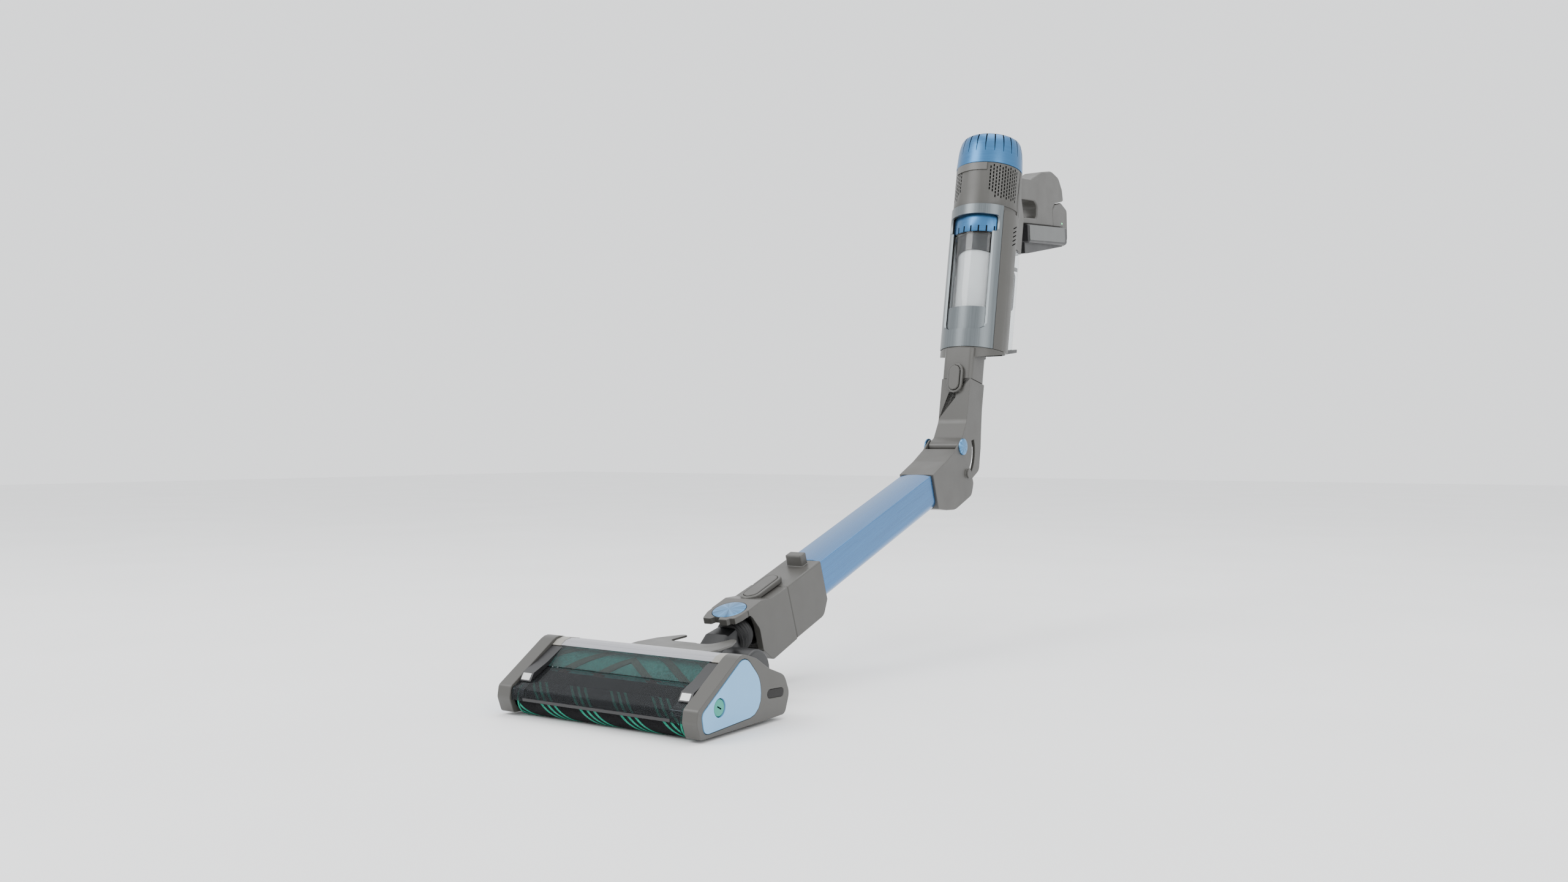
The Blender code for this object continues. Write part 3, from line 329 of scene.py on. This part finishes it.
def turned(name, profile, axis, centre, home, finish, steps=64, closed=True):
    """A profile of (radius, along) turned about an axis through centre."""
    rings = []
    for i in range(steps):
        across, up = sin(2 * pi * i / steps), cos(2 * pi * i / steps)
        rings.append(
            [place(axis, centre[0] + r * across, centre[1] + r * up, w) for r, w in profile]
        )
    count = len(profile)
    faces = []
    for i in range(steps):
        for k in range(count if closed else count - 1):
            here, there, after = i * count, (i + 1) % steps * count, (k + 1) % count
            faces.append((here + k, here + after, there + after, there + k))
    obj = from_points(name, [p for ring in rings for p in ring], faces, home, finish)
    work = bmesh.new()
    work.from_mesh(obj.data)
    bmesh.ops.remove_doubles(work, verts=work.verts, dist=1e-6)
    bmesh.ops.recalc_face_normals(work, faces=work.faces)
    work.to_mesh(obj.data)
    work.free()
    return obj


def stadium(a, b, width, length, steps=12):
    """An outline with round ends, its length along b."""
    reach = (length - width) / 2
    points = []
    for middle, start in ((b + reach, 0), (b - reach, 180)):
        for i in range(steps + 1):
            angle = radians(start + 180 * i / steps)
            points.append((a + width / 2 * cos(angle), middle + width / 2 * sin(angle)))
    return points


def boxes(name, places, home, finish):
    """Many boxes as one mesh. Each is (matrix in millimetres, sizes)."""
    points, faces = [], []
    quads = ((0, 1, 3, 2), (4, 6, 7, 5), (0, 4, 5, 1), (2, 3, 7, 6), (0, 2, 6, 4), (1, 5, 7, 3))
    for turn, size in places:
        start = len(points)
        for i in range(8):
            corner = Vector(((i >> 2 & 1) - 0.5, (i >> 1 & 1) - 0.5, (i & 1) - 0.5))
            points.append(turn @ Vector(c * s for c, s in zip(corner, size)))
        faces += [tuple(start + k for k in quad) for quad in quads]
    return from_points(name, points, faces, home, finish)


def baked(obj):
    """Applies the object's modifiers."""
    graph = bpy.context.evaluated_depsgraph_get()
    mesh = bpy.data.meshes.new_from_object(obj.evaluated_get(graph))
    obj.modifiers.clear()
    obj.data = mesh
    return obj


def carve(obj, *tools):
    """Cuts the tools out of obj. The new walls take the tool's material."""
    for tool in tools:
        modifier = obj.modifiers.new(tool.name, "BOOLEAN")
        modifier.operation = "DIFFERENCE"
        modifier.solver = "EXACT"
        modifier.material_mode = "TRANSFER"
        modifier.object = tool
        bpy.context.view_layer.update()
        baked(obj)
        bpy.data.objects.remove(tool, do_unlink=True)
    return obj


def extent(obj):
    """How far the mesh reaches each way in its own frame."""
    return [f(v.co[i] for v in obj.data.vertices) for i in range(3) for f in (min, max)]


def softened(obj, width, segments=3, angle=30):
    """Rounds the edges sharper than angle, by less where that would grow the piece."""
    plain, box = obj.data, extent(obj)
    while width:
        modifier = obj.modifiers.new("Bevel", "BEVEL")
        modifier.width = width * MM
        modifier.segments = segments
        modifier.limit_method = "ANGLE"
        modifier.angle_limit = radians(angle)
        modifier.use_clamp_overlap = False
        baked(obj)
        if all(abs(a - b) < 2e-5 for a, b in zip(extent(obj), box)):
            break
        obj.data = plain
        width = width * 0.6 if width > 0.1 else 0
    obj.data.shade_smooth()
    obj.data.set_sharp_from_angle(angle=radians(28))
    if width:
        weighted = obj.modifiers.new("Weighted", "WEIGHTED_NORMAL")
        weighted.keep_sharp = True
        weighted.weight = 60
        baked(obj)
    return obj


def settled(obj, body, nodes=()):
    """Gives a piece its body and the nodes it stands in for."""
    if nodes:
        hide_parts(*nodes)
    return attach(obj, body)


def refined(node, home, finish, width=0.8, segments=3, angle=32, tools=()):
    """The CAD node's own shape with its edges rounded and its facets smoothed."""
    source = NODES[node].data
    inverse = home.inverted()
    mesh = bpy.data.meshes.new(node + "_shell")
    corners = [inverse @ v.co for v in source.vertices]
    mesh.from_pydata(corners, [], [tuple(p.vertices) for p in source.polygons])
    work = bmesh.new()
    work.from_mesh(mesh)
    bmesh.ops.remove_doubles(work, verts=work.verts, dist=3e-6)
    bmesh.ops.dissolve_limit(work, angle_limit=radians(0.8), verts=work.verts, edges=work.edges)
    bmesh.ops.recalc_face_normals(work, faces=work.faces)
    work.to_mesh(mesh)
    work.free()
    obj = new_object(node + "_shell", mesh, home, finish)
    softened(obj, width, segments, angle)
    carve(obj, *tools)
    return settled(obj, BODY[node], [node])


def added(obj, body, width=0.0, segments=2, angle=32):
    """A small piece that the CAD leaves to the looks."""
    softened(obj, width, segments, angle)
    return settled(obj, body)


# ---------------------------------------------------------------- floor head


def ribbons(name, centre, radius, rise, starts, slope, width, finish, fold=False):
    """Raised bands that wind round a roller, by slope degrees for each millimetre.

    With fold, they turn back at the middle, as a chevron.
    """
    points, faces = [], []
    half, steps = 104, 90
    for start in starts:
        first = len(points)
        for i in range(steps + 1):
            x = -half + 2 * half * i / steps
            turn = start + slope * (abs(x) if fold else x)
            for edge in (-width / 2, width / 2):
                for r in (radius - 0.6, radius + rise):
                    angle = radians(turn + edge)
                    points.append((x, centre[0] + r * cos(angle), centre[1] + r * sin(angle)))
        for i in range(steps):
            a, b = first + 4 * i, first + 4 * (i + 1)
            faces += [(a + 1, a + 3, b + 3, b + 1), (a, b, b + 2, a + 2)]
            faces += [(a, a + 1, b + 1, b), (a + 2, b + 2, b + 3, a + 3)]
        last = first + 4 * steps
        faces += [(first, first + 2, first + 3, first + 1), (last, last + 1, last + 3, last + 2)]
    return from_points(name, points, faces, HEAD, finish)


def make_head():
    refined("head_chassis", HEAD, "dark", 1.2)
    refined("sole_plate", HEAD, "dark", 0.5)
    refined("front_crossbar", HEAD, "black", 0.6)
    refined("front_visor", HEAD, "smoke", 0.35, 2)
    refined("brush_window", HEAD, "window", 0.4, 2)
    refined("top_bar", HEAD, "bar", 0.5)
    refined("neck_cover", HEAD, "taupe", 0.9)
    rail = [(-8.5, 17.2), (-8.7, 20.4), (-6.2, 20.4), (-6.2, 17.2)]
    added(slab("visor_rail", rail, -96, 96, "X", HEAD, "dark"), "floor_head", 0.3)
    sensor = [(103.6, 26.5), (105, 25.2), (129, 23.9), (130.6, 25.2)]
    sensor += [(130.6, 31.2), (129, 32.4), (105, 33.6), (103.6, 32.6)]
    lens = [(3.0, 36.6), (6.8, 42.9), (8.2, 42.4), (5.0, 36.4)]
    bar_end = [(50.4, 66.3), (57.2, 70.9), (66, 72.75), (80.3, 70.7)]
    bar_end += [(80.3, 68.2), (66, 69.2), (58.5, 67.8), (52.6, 64.3)]
    block = [(-7.6, 22.5), (-6.8, 29.0), (27.0, 46.9), (28.0, 45.0)]
    block += [(10, 36), (2, 33), (-3.8, 28), (-5.6, 22.5)]
    details = (
        ("_edge_sensor", sensor, 128.8, 129.7, "sensor", "smoke", 0.3),
        ("_lamp_lens", lens, 98.6, 109.6, "lens", "clear", 0.3),
        ("_bar_end", bar_end, 100, 111.6, "bar_end", "silver", 0.3),
        ("_visor_block", block, 95.5, 111, "clear", "smoke", 0.4),
    )
    for sign, side in SIDES:
        refined(side + "_end_housing", HEAD, "taupe", 1.5, 4, 40)
        refined(side + "_side_panel", HEAD, "sky", 0.35, 2, 40)
        refined(side + "_headlight_pod", HEAD, "dark", 0.5)
        refined(side + "_trunnion", HEAD, "dark", 1.0)
        refined(side + "_rear_wheel", HEAD, "rubber", 0.6)
        for name, outline, near, far, finish, slot, width in details:
            low, high = sorted((sign * near, sign * far))
            piece = slab(side + name, outline, low, high, "X", HEAD, finish)
            added(piece, "floor_head", width)
    turn = Matrix.Translation((129.8, 24, 29)) @ Matrix.Rotation(radians(-28), 4, "X")
    groove = boxes("button_slot", [(turn, (3, 7, 1.4))], HEAD, "slit")
    refined("panel_release_button", HEAD, "teal", 0.6, 3, 32, [groove])


def roller_body(name, centre, radius, half, bore, chamfer, finish):
    """A turned roller with a small chamfer and a flat face at each end."""
    profile = [(bore, -half), (chamfer[0], -half), (radius - chamfer[1], chamfer[2] - half)]
    profile += [(radius, 3 - half), (radius, half - 3), (radius - chamfer[1], half - chamfer[2])]
    profile += [(chamfer[0], half), (bore, half)]
    return turned(name, profile, "X", centre, HEAD, finish, 72, closed=False)


def roller_axle(name, centre, radius, end, body):
    profile = [(0, -118), (radius, -118), (radius, end), (0, end)]
    axle = turned(name, profile, "X", centre, HEAD, "steel", 24, closed=False)
    settled(softened(axle, 0), body)


def make_rollers():
    centre, radius = SOFT_ROLLER_AXIS, 16.4
    roller = roller_body("front_roller_pile", centre, radius, 108, 4, (12, 1.5, 0.5), "bristle")
    settled(softened(roller, 0), "front_roller", ["soft_roller"])
    roller_axle("front_roller_axle", centre, 3, 118, "front_roller")
    starts = [group + step for group in (10, 190) for step in (0, 31, 62)]
    bands = ribbons(
        "front_roller_stripes", centre, radius, 0.25, starts, 3.4, 12.0, "green_pile"
    )
    settled(bands, "front_roller")
    for sign, side in reversed(SIDES):
        low, high = sorted((sign * 105.2, sign * 107.4))
        inner, outer = radius - 2, radius + 0.1
        profile = [(inner, low), (outer, low), (outer, high), (inner, high)]
        ring = turned("front_roller_ring_" + side, profile, "X", centre, HEAD, "green_pile", 48)
        settled(softened(ring, 0), "front_roller")
    centre, radius = BRUSH_ROLL_AXIS, 28.2
    roll = roller_body("brush_roll_pile", centre, radius, 106, 5, (20, 2, 0.4), "teal_pile")
    settled(softened(roll, 0), "main_brush", ["brush_roll"])
    roller_axle("brush_roll_axle", centre, 4, 120, "main_brush")
    chevrons = ribbons(
        "brush_roll_chevrons", centre, radius, 1.2, range(0, 360, 60), 1.25, 17, "brown_pile", True
    )
    settled(chevrons, "main_brush")


# ---------------------------------------------------------------- neck and lower wand


def make_neck():
    refined("neck_yoke", WAND, "black", 1.0)
    refined("neck_seal", WAND, "rubber", 0.3, 2, 20)
    refined("neck_clevis", WAND, "taupe", 1.2)
    refined("tube_socket", WAND, "taupe", 1.0, 3, 25)
    refined("lower_hinge_housing", WAND, "taupe", 1.4)
    refined("lower_release_button", WAND, "taupe", 0.8)
    profile = [(0, 31.9), (9, 31.75), (15, 31.5), (18.2, 31.3)]
    profile += [(19.3, 30.9), (19.6, 30.2), (19.6, 29.7), (0, 29.7)]
    home = WAND @ moved(0, 60, 0)
    disc = turned("steering_disc", profile, "Z", (0, 0), home, "disc", 96, closed=False)
    settled(softened(disc, 0), "lower_wand", ["steering_cap"])
    profile = [(0, 30.3), (7, 30.2), (10.4, 29.9), (11.5, 29.4), (11.9, 28.6), (11.9, 27.3)]
    profile.append((0, 27.3))
    home = WAND @ moved(*FOLD_PIN)
    for sign, side in SIDES:
        turned_out = [(r, sign * w) for r, w in profile]
        disc = turned(
            side + "_fold_disc", turned_out, "X", (0, 0), home, "disc_side", 72, closed=False
        )
        settled(softened(disc, 0), "lower_wand", [side + "_hinge_cap"])


def tube_section(inset):
    """The wand tube's section (x, n): a low crown on top and two round lower corners."""
    half, top, bottom, corner = 23.9, 24.7, -26.3, 13
    side, centre = half - inset, bottom + corner
    section = [(-side, top - 2.0 - inset), (-half * 0.5, top - 0.4 - inset), (0, top - inset)]
    section += [(half * 0.5, top - 0.4 - inset), (side, top - 2.0 - inset), (side, centre)]
    for angle in range(-15, -91, -15):
        turn = radians(angle)
        section.append((side - corner + corner * cos(turn), centre + (corner - inset) * sin(turn)))
    for angle in range(-90, -166, -15):
        turn = radians(angle)
        section.append((-side + corner + corner * cos(turn), centre + (corner - inset) * sin(turn)))
    section.append((-side, centre))
    return section


def make_tube():
    stations = (217.1, 366, 516.7)
    rings = [[(x, u, n) for x, n in tube_section(0)] for u in stations]
    rings += [[(x, u, n) for x, n in tube_section(1.6)] for u in reversed(stations)]
    tube = skin("wand_tube_shell", rings, WAND, "tube", closed=True)
    softened(tube, 0.9, 3, 50)
    settled(tube, "lower_wand", ["wand_tube"])


def between(points, t):
    """A point on the smooth curve through four points, from the second at 0 to the third at 1."""
    p0, p1, p2, p3 = points
    slope = (p2 - p0) * t
    bend = (2 * p0 - 5 * p1 + 4 * p2 - p3) * t * t
    twist = (3 * p1 - p0 - 3 * p2 + p3) * t ** 3
    return 0.5 * (2 * p1 + slope + bend + twist)


def make_hose():
    """A ribbed hose on a bent path past the fold joint."""
    stations = ((552, -4), (570, -6), (586, -8), (600, -8.5), (614, -6), (626, 0), (636, 10))
    route = [Vector((0, u, n)) for u, n in stations]
    last = len(route) - 1
    line = []
    for i in range(last):
        near = [route[max(0, min(last, i + k))] for k in (-1, 0, 1, 2)]
        line += [between(near, k / 8) for k in range(8)]
    line.append(route[-1])
    across = Vector((1, 0, 0))
    rings = []
    for i, point in enumerate(line):
        ahead = (line[min(i + 1, len(line) - 1)] - line[max(i - 1, 0)]).normalized()
        up = across.cross(ahead)
        radius = 14.2 if i % 4 in (0, 1) else 12.9
        turns = (2 * pi * k / 32 for k in range(32))
        rings.append([tuple(point + (across * cos(a) + up * sin(a)) * radius) for a in turns])
    hose = skin("fold_hose", rings, WAND, "rubber")
    hose.data.transform(WAND)
    hose.matrix_world = Matrix.Identity(4)
    softened(hose, 0)
    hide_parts("bend_hose")
    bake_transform(hose)


# ---------------------------------------------------------------- handheld unit


def round_axis(angle, radius, v):
    """A matrix in millimetres at an angle round the handheld unit's axis, its Z pointing out."""
    turn = radians(angle)
    place_at = Matrix.Translation((radius * sin(turn), v, AXIS_M + radius * cos(turn)))
    return place_at @ Matrix.Rotation(turn, 4, "Y")


def grille_places():
    """The air slots on both sides of the motor housing: staggered rows, one corner left out."""
    places = []
    for sign in (-1, 1):
        for column in range(11):
            for row in range(9):
                v = 387.5 + 5.6 * row + (2.8 if column % 2 else 0)
                if column < 2 and row < 2 - column or v > 437:
                    continue
                places.append((round_axis(sign * (29 + 5.4 * column), 49.2, v), (1.9, 4.1, 3.6)))
    return places


def vent_places():
    """The five slanting vents low on each side of the motor housing."""
    places = []
    for sign in (-1, 1):
        slant = Matrix.Rotation(radians(32 * sign), 4, "Z")
        for i in range(5):
            turn = round_axis(sign * 90, 50.6, 322 + 6.5 * i) @ slant
            places.append((turn, (12, 1.7, 2.4)))
    return places


def make_upper():
    refined("upper_wand", UPPER, "taupe", 1.3)
    refined("upper_release_button", UPPER, "taupe", 0.7)
    refined("inlet_base", UPPER, "taupe", 1.0)
    refined("front_bezel", UPPER, "silver", 0.7)
    refined("cup_lower_band", UPPER, "silver", 0.3, 2)
    refined("dust_cup", UPPER, "clear", 0.5, 2)
    refined("dust_door", UPPER, "dark", 0.7)
    refined("cup_latch", UPPER, "dark", 0.8)
    grille = boxes("grille_slots", grille_places(), UPPER, "slit")
    vents = boxes("side_vents", vent_places(), UPPER, "slit")
    refined("motor_housing", UPPER, "taupe", 0.8, 2, 34, [grille, vents])
    refined("name_plate", UPPER, "taupe_light", 0.25, 2)
    cuts = [(round_axis(15 * i, 46.0, 337.5), (2.2, 9, 2.6)) for i in range(24)]
    refined("slit_ring", UPPER, "ring", 0.3, 2, 34, [boxes("ring_wedges", cuts, UPPER, "slit")])
    float_shape = [(v, m) for m, v in stadium(-127, 268, 15, 62)]
    frame_shape = [(299, -117), (303, -142), (309, -142), (305, -117)]
    for sign, side in SIDES:
        low, high = sorted((sign * 22.5, sign * 24.5))
        piece = slab(side + "_bin_float", float_shape, low, high, "X", UPPER, "dark")
        added(piece, "handheld", 0.4)
        low, high = sorted((sign * 23.5, sign * 25.2))
        piece = slab(side + "_bin_frame", frame_shape, low, high, "X", UPPER, "dark")
        added(piece, "handheld", 0.3)
    make_cyclone()
    make_cap()


def make_cyclone():
    """What shows inside the cup: a dark skirt with a sloping edge over a pale drum."""
    profile = [(40, 330), (40, 300), (39, 292), (37.5, 292)]
    profile += [(38.4, 300), (38.4, 329), (20, 329), (20, 330)]
    skirt = turned("cyclone_skirt", profile, "Y", (0, AXIS_M), UPPER, "dark", 72)
    below = [(285, -20), (309, -20), (292, -66), (292, -120), (280, -120), (280, -20)]
    carve(skirt, slab("skirt_slope", below, -60, 60, "X", UPPER, "dark"))
    settled(softened(skirt, 0), "handheld", ["cyclone_shroud"])
    profile = [(36.5, 328), (37, 300), (37, 168), (35, 164), (33, 164)]
    profile += [(35, 170), (35, 327), (20, 327), (20, 328)]
    drum = turned("cyclone_cone", profile, "Y", (0, AXIS_M), UPPER, "pale", 72)
    settled(softened(drum, 0), "handheld")


def make_cap():
    """The filter cap, with 22 slits that taper downwards."""
    home = UPPER @ moved(0, CAP_BASE, AXIS_M)
    profile = [(0, 51), (30, 50.8), (36, 50.3), (40, 49.2), (43, 47.2), (45.4, 43.2)]
    profile += [(47.2, 37), (48.5, 30), (49.5, 20), (50.1, 10), (50.5, 3), (50.5, 0.6)]
    profile += [(50.2, 0.2), (46, 0.2), (45.4, 28), (42, 40), (38, 46), (0, 46)]
    cap = turned("filter_cap_shell", profile, "Y", (0, 0), home, "cap", 132, closed=False)
    # One slit seen from the side, as (radius, height, half width).
    slit = ((51.5, 19, 0.35), (51.5, 47, 1.15), (40.0, 52.2, 1.3))
    slit += ((36.0, 52.2, 1.2), (43.2, 44.5, 1.1), (47.6, 19, 0.3))
    count = len(slit)
    points, faces = [], []
    for i in range(22):
        across, ahead = sin(2 * pi * i / 22), cos(2 * pi * i / 22)
        start = len(points)
        points += [(r * across - w * ahead, v, r * ahead + w * across) for r, v, w in slit]
        points += [(r * across + w * ahead, v, r * ahead - w * across) for r, v, w in slit]
        left = [start + k for k in range(count)]
        right = [start + count + k for k in range(count)]
        faces += [tuple(left), tuple(right)]
        for k in range(count):
            after = (k + 1) % count
            faces.append((left[k], left[after], right[after], right[k]))
    carve(cap, from_points("cap_slits", points, faces, home, "slit"))
    settled(softened(cap, 0), "cap", ["filter_cap"])


def make_handle():
    refined("handle", HANDLE, "taupe", 1.0, 3, 25)
    refined("power_button", HANDLE, "dark", 0.6)
    refined("battery_pack", HANDLE, "dark", 0.8)
    refined("battery_rear_cap", HANDLE, "taupe", 0.8)
    refined("battery_button", HANDLE, "dark", 0.8)
    outline = [(80, -25), (82, -27), (222, -27), (225, -24)]
    outline += [(225, -5), (222, -3), (82, -3), (80, -5)]
    for sign, side in SIDES:
        low, high = sorted((sign * 23.6, sign * 24.5))
        panel = slab(side + "_battery_panel", outline, low, high, "X", HANDLE, "panel_grey")
        added(panel, "battery", 0.4)
    profile = [(0, 14.6), (1.3, 14.6), (1.3, 15.25), (0, 15.35)]
    light = turned("charge_light", profile, "X", (236, 6), HANDLE, "led", 20, closed=False)
    added(light, "battery")


def finish_hidden_nodes():
    """Procedural finishes for the CAD nodes that stay as they are."""
    kept = {
        "steel": (
            "brush_motor", "pitch_axle", "steering_pin", "hinge_pin", "suction_motor", "impeller"
        ),
        "rubber": ("drive_belt",),
        "black": ("wiring_conduit",),
        "felt": ("pre_motor_filter", "exhaust_filter"),
    }
    for finish, nodes in kept.items():
        for node in nodes:
            mesh = NODES[node].data
            mesh.materials.clear()
            mesh.materials.append(M[finish])


# ---------------------------------------------------------------- room


LOOK_AT = (0, 0, 0.3)  # metres, as are the lamps' places and sizes


def add_light(name, at, energy, size, to=LOOK_AT):
    lamp = bpy.data.lights.new(name, "AREA")
    lamp.energy = energy
    lamp.shape = "RECTANGLE"
    lamp.size, lamp.size_y = size
    obj = bpy.data.objects.new(name, lamp)
    bpy.context.scene.collection.objects.link(obj)
    obj.location = at
    obj.rotation_euler = (Vector(to) - Vector(at)).to_track_quat("-Z", "Y").to_euler()


def make_room():
    reach, drop = 9000, -0.2
    corners = [(a * reach, b * reach, drop) for a, b in ((-1, -1), (1, -1), (1, 1), (-1, 1))]
    floor = from_points("floor", corners, [(0, 1, 2, 3)], Matrix.Identity(4), "floor")
    world = bpy.data.worlds.new("studio")
    bpy.context.scene.world = world
    world.use_nodes = True
    sky = world.node_tree.nodes["Background"]
    sky.inputs["Color"].default_value = (0.97, 0.985, 1.0, 1)
    sky.inputs["Strength"].default_value = 1.6
    add_light("key", (-1.6, -2.2, 2.6), 60, (1.6, 1.6))
    add_light("fill", (2.6, -1.4, 1.6), 25, (1.4, 1.8))
    add_light("top", (0.3, 0.4, 3.0), 40, (2.0, 2.0), (0, 0.1, 0.3))


# The camera fitted to the photo, with the focal length and the sideways shift in its pixels.
PHOTO_WIDTH = 2560
FOCAL = 2174.7
SHIFT = -54.8


def make_camera():
    camera = bpy.data.cameras.new("camera")
    camera.sensor_width = 36
    camera.lens = 36 * FOCAL / PHOTO_WIDTH
    camera.shift_x = SHIFT / PHOTO_WIDTH
    camera.clip_start = 0.02
    camera.clip_end = 60
    obj = bpy.data.objects.new("camera", camera)
    bpy.context.scene.collection.objects.link(obj)
    obj.location = (0.8912, -1.558253, 0.2768)
    obj.rotation_euler = (radians(90.2), 0, radians(32.88))
    bpy.context.scene.camera = obj


def levelled(*names):
    """Turns pieces' own frames parallel to the world, so that their bounding boxes are tight."""
    for name in names:
        obj = bpy.data.objects[name]
        flat = Matrix.Translation(obj.matrix_world.translation)
        obj.data.transform(flat.inverted() @ obj.matrix_world)
        obj.matrix_world = flat


make_head()
make_rollers()
make_neck()
make_tube()
make_hose()
make_upper()
make_handle()
levelled("filter_cap_shell", "handle_shell", "battery_pack_shell")
levelled("battery_rear_cap_shell", "battery_button_shell")
finish_hidden_nodes()
make_room()
make_camera()
